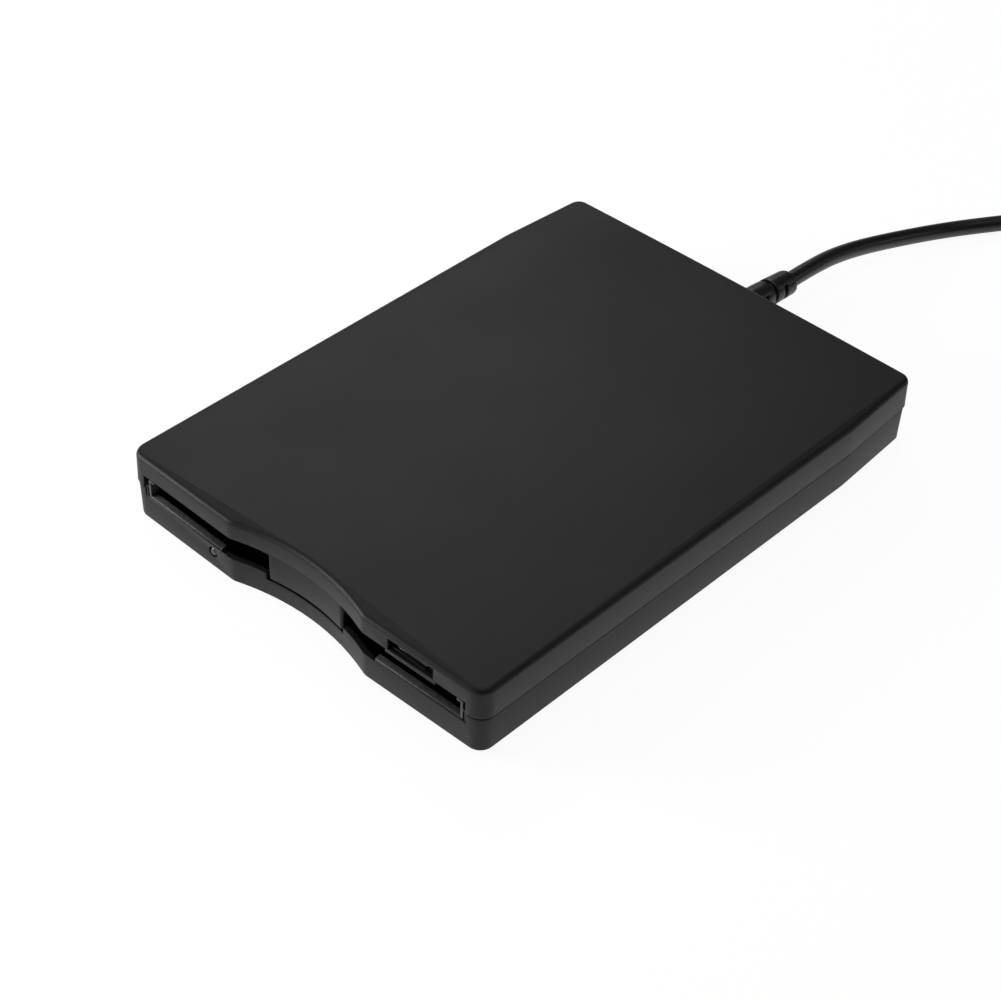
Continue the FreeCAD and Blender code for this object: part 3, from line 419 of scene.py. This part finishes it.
cordRelief = turnedPiece("cordRelief", strainRelief)
for slotPlace in strainRelief["sideSlots"]:
    cutSideSlot(cordRelief, strainRelief, slotPlace, -1)
    cutSideSlot(cordRelief, strainRelief, slotPlace, 1)
softenEdges(cordRelief, strainRelief["edge"], 2)
dress(cordRelief, cordVinyl, "case", "strain_relief")

print("cord and strain relief done")

caseShape = {
    "notchEdge": 22.6,          # the thumb notch lies inside this
    "notchNarrower": 0.921,
    "frontDepth": -60.0,
    "lipEnds": (12.0, 12.3),    # the ends of the lowered lip, after the notch is narrowed
    "lipFront": -62.0,
    "lipFloor": 5.1,
    "lipNarrower": 0.954,
    "padNarrower": 0.8615,
    "seamHeight": 9.5,
    "seamOpen": 0.6,            # shows as a dark line under the upper cover
    "edge": 0.16,
    "padEdge": 0.12,
    "guideEdge": 0.06,
}


def inNotch(x, y, z):
    return abs(x) < caseShape["notchEdge"] and y < caseShape["frontDepth"]


def atLipEnd(x, y, z):
    inner, outer = caseShape["lipEnds"]
    return inner < abs(x) < outer and y < caseShape["lipFront"] and z > caseShape["lipFloor"]


def atSeam(x, y, z):
    return abs(z - caseShape["seamHeight"]) < 2 * touch


topCover = mergedCopy("top_cover", "topCover")
widenVerts(topCover, inNotch, caseShape["notchNarrower"])
moveVerts(topCover, atSeam, (0, 0, caseShape["seamOpen"]))
softenEdges(topCover, caseShape["edge"])
dress(topCover, casePlastic, "case", "top_cover")

bottomCover = mergedCopy("bottom_cover", "bottomCover")
widenVerts(bottomCover, inNotch, caseShape["notchNarrower"])
widenVerts(bottomCover, atLipEnd, caseShape["lipNarrower"])
softenEdges(bottomCover, caseShape["edge"])
dress(bottomCover, casePlastic, "case", "bottom_cover")

doorPad = mergedCopy("door_pad", "doorPad")
widenVerts(doorPad, lambda x, y, z: True, caseShape["padNarrower"])
softenEdges(doorPad, caseShape["padEdge"])
dress(doorPad, casePlastic, "door", "door_pad")

sill = {
    "inner": 23.0,
    "outer": 46.9,
    "front": -70.9,
    "bowSlope": 0.021,
    "deep": 1.45,
    "low": 7.42,
    "high": 8.05,
    "frontEdge": 7.66,          # where the slope starts at the front
    "wallInner": 46.3,
    "wallTop": 11.7,
    "hookInner": 45.2,
    "hookTop": 12.05,
    "wallRear": -66.2,
    "lean": 0.1,
    "wallBack": 0.05,           # how far the wall stands behind the sill's front
    "overlap": 0.1,
    "barEdge": 0.08,
    "wallEdge": 0.06,
}


def slotSill(name, side):
    def span(inner, outer):
        return (inner, outer) if side > 0 else (-outer, -inner)

    x0, x1 = span(sill["inner"], sill["outer"])
    bar = blockPiece(name, (x0, sill["front"], sill["low"]), (x1, sill["front"] + sill["deep"], sill["high"]))
    drop = sill["frontEdge"] - sill["high"]
    moveVerts(bar, lambda x, y, z: z > sill["high"] - touch and y < sill["front"] + touch,
              (0, sill["lean"], drop))
    bow = sill["bowSlope"] * (sill["outer"] - sill["inner"])
    moveVerts(bar, lambda x, y, z: abs(x) > sill["outer"] - touch, (0, bow, 0))
    x0, x1 = span(sill["wallInner"], sill["outer"])
    front = sill["front"] + bow + sill["wallBack"]
    wall = blockPiece(name + "Wall", (x0, front, sill["low"] + sill["overlap"]),
                      (x1, sill["wallRear"], sill["wallTop"]))
    x0, x1 = span(sill["hookInner"], sill["outer"])
    hook = blockPiece(name + "Hook", (x0, front, sill["wallTop"] - sill["overlap"]),
                      (x1, sill["wallRear"], sill["hookTop"]))
    softenEdges(bar, sill["barEdge"], 2)
    softenEdges(wall, sill["wallEdge"], 2)
    softenEdges(hook, sill["wallEdge"], 2)
    joined = joinPieces(name, [bar, wall, hook])
    dress(joined, sillPlasticPaintedLight, "case")


for sideName, side in (("right", 1), ("left", -1)):
    guide = mergedCopy(sideName + "_slot_guide", sideName + "Guide")
    softenEdges(guide, caseShape["guideEdge"], 2)
    dress(guide, casePlastic, "case", sideName + "_slot_guide")
    slotSill(sideName + "Sill", side)

button = {
    "left": 27.25, "right": 36.6,
    "front": -70.35, "rear": -67.3,
    "low": 13.45, "high": 15.85,
    "lipTop": 13.66, "faceStart": 13.95,
    "setBack": 0.62,
    "edge": 0.1,
    "shank": ((29.5, -67.6, 15.15), (36.0, -54.45, 15.85)),
}
buttonHead = blockPiece("ejectButton", (button["left"], button["front"], button["low"]),
                        (button["right"], button["rear"], button["high"]))
cutAcross(buttonHead, button["lipTop"])
cutAcross(buttonHead, button["faceStart"])
moveVerts(buttonHead, lambda x, y, z: y < button["front"] + touch and z > button["faceStart"] - touch,
          (0, button["setBack"], 0))
softenEdges(buttonHead, button["edge"])
buttonShank = blockPiece("buttonShank", *button["shank"])
softenEdges(buttonShank, button["edge"], 2)
ejectButton = joinPieces("ejectButton", [buttonHead, buttonShank])
dress(ejectButton, buttonPlasticPaintedShade, "eject", "eject_button")
print("case, sills and button done")

floorSettings = {"size": 6, "low": -0.0002, "white": 1.16, "shadowShare": 0.2, "color": (0.8, 0.8, 0.8, 1)}
deselectAll()
bpy.ops.mesh.primitive_plane_add(size=floorSettings["size"], location=(0, 0, floorSettings["low"]))
floor = bpy.context.object
floor.name = "studioFloor"
floorMaterial, tree, shader = newMaterial("floorWhite")
shader.inputs["Base Color"].default_value = floorSettings["color"]
shader.inputs["Roughness"].default_value = 0.9
rays = tree.nodes.new("ShaderNodeLightPath")
either = tree.nodes.new("ShaderNodeMath")
either.operation = "MAXIMUM"
seen = tree.nodes.new("ShaderNodeMath")
seen.operation = "MAXIMUM"
tree.links.new(rays.outputs["Is Camera Ray"], either.inputs[0])
tree.links.new(rays.outputs["Is Glossy Ray"], either.inputs[1])
tree.links.new(either.outputs[0], seen.inputs[0])
tree.links.new(rays.outputs["Is Transmission Ray"], seen.inputs[1])
share = tree.nodes.new("ShaderNodeMath")
share.operation = "MULTIPLY"
share.inputs[1].default_value = 1 - floorSettings["shadowShare"]      # the rest still takes the shadow
tree.links.new(seen.outputs[0], share.inputs[0])
glow = tree.nodes.new("ShaderNodeEmission")
glow.inputs["Strength"].default_value = floorSettings["white"]
mixed = tree.nodes.new("ShaderNodeMixShader")
tree.links.new(share.outputs[0], mixed.inputs[0])
tree.links.new(shader.outputs[0], mixed.inputs[1])
tree.links.new(glow.outputs[0], mixed.inputs[2])
tree.links.new(mixed.outputs[0], tree.nodes["Material Output"].inputs["Surface"])
setMaterial(floor, floorMaterial)

skySettings = {
    "color": (0.050876, 0.050876, 0.050876, 1),
    "horizon": 1.0,
    "ceiling": 0.15,
    "paleUpTo": 0.12,
    "dimFrom": 0.5,
}
world = bpy.data.worlds.new("studioSky")
world.use_nodes = True
bpy.context.scene.world = world
tree = world.node_tree
background = tree.nodes["Background"]
background.inputs["Color"].default_value = skySettings["color"]      # a dark studio, so the lamps do the work
direction = tree.nodes.new("ShaderNodeTexCoord")
split = tree.nodes.new("ShaderNodeSeparateXYZ")
fade = tree.nodes.new("ShaderNodeMapRange")
fade.inputs["From Min"].default_value = skySettings["paleUpTo"]
fade.inputs["From Max"].default_value = skySettings["dimFrom"]
fade.inputs["To Min"].default_value = skySettings["horizon"]
fade.inputs["To Max"].default_value = skySettings["ceiling"]
tree.links.new(direction.outputs["Generated"], split.inputs[0])
tree.links.new(split.outputs["Z"], fade.inputs["Value"])
tree.links.new(fade.outputs["Result"], background.inputs["Strength"])

lamps = [
    {"name": "overhead", "place": (0.1, 0.0, 1.2), "size": (0.9, 0.9), "power": 3.5},
    {"name": "rearLeft", "place": (-0.9, 0.75, 0.9), "size": (0.8, 0.6), "power": 3.58},
    {"name": "leftNear", "place": (-0.42, -0.36, 0.16), "size": (0.25, 0.2), "power": 2.03},
    {"name": "rearRight", "place": (0.9, 0.85, 0.55), "size": (0.3, 0.3), "power": 0.6},
]
for settings in lamps:
    lampData = bpy.data.lights.new(settings["name"], "AREA")
    lampData.shape = "RECTANGLE"
    lampData.size, lampData.size_y = settings["size"]
    lampData.energy = settings["power"]
    lamp = bpy.data.objects.new(settings["name"], lampData)
    lamp.location = settings["place"]
    lamp.rotation_euler = (-Vector(settings["place"])).to_track_quat("-Z", "Y").to_euler()
    bpy.context.scene.collection.objects.link(lamp)
print("floor, sky and lamps done")

bpy.context.scene.view_settings.view_transform = "Standard"
print("scene done")
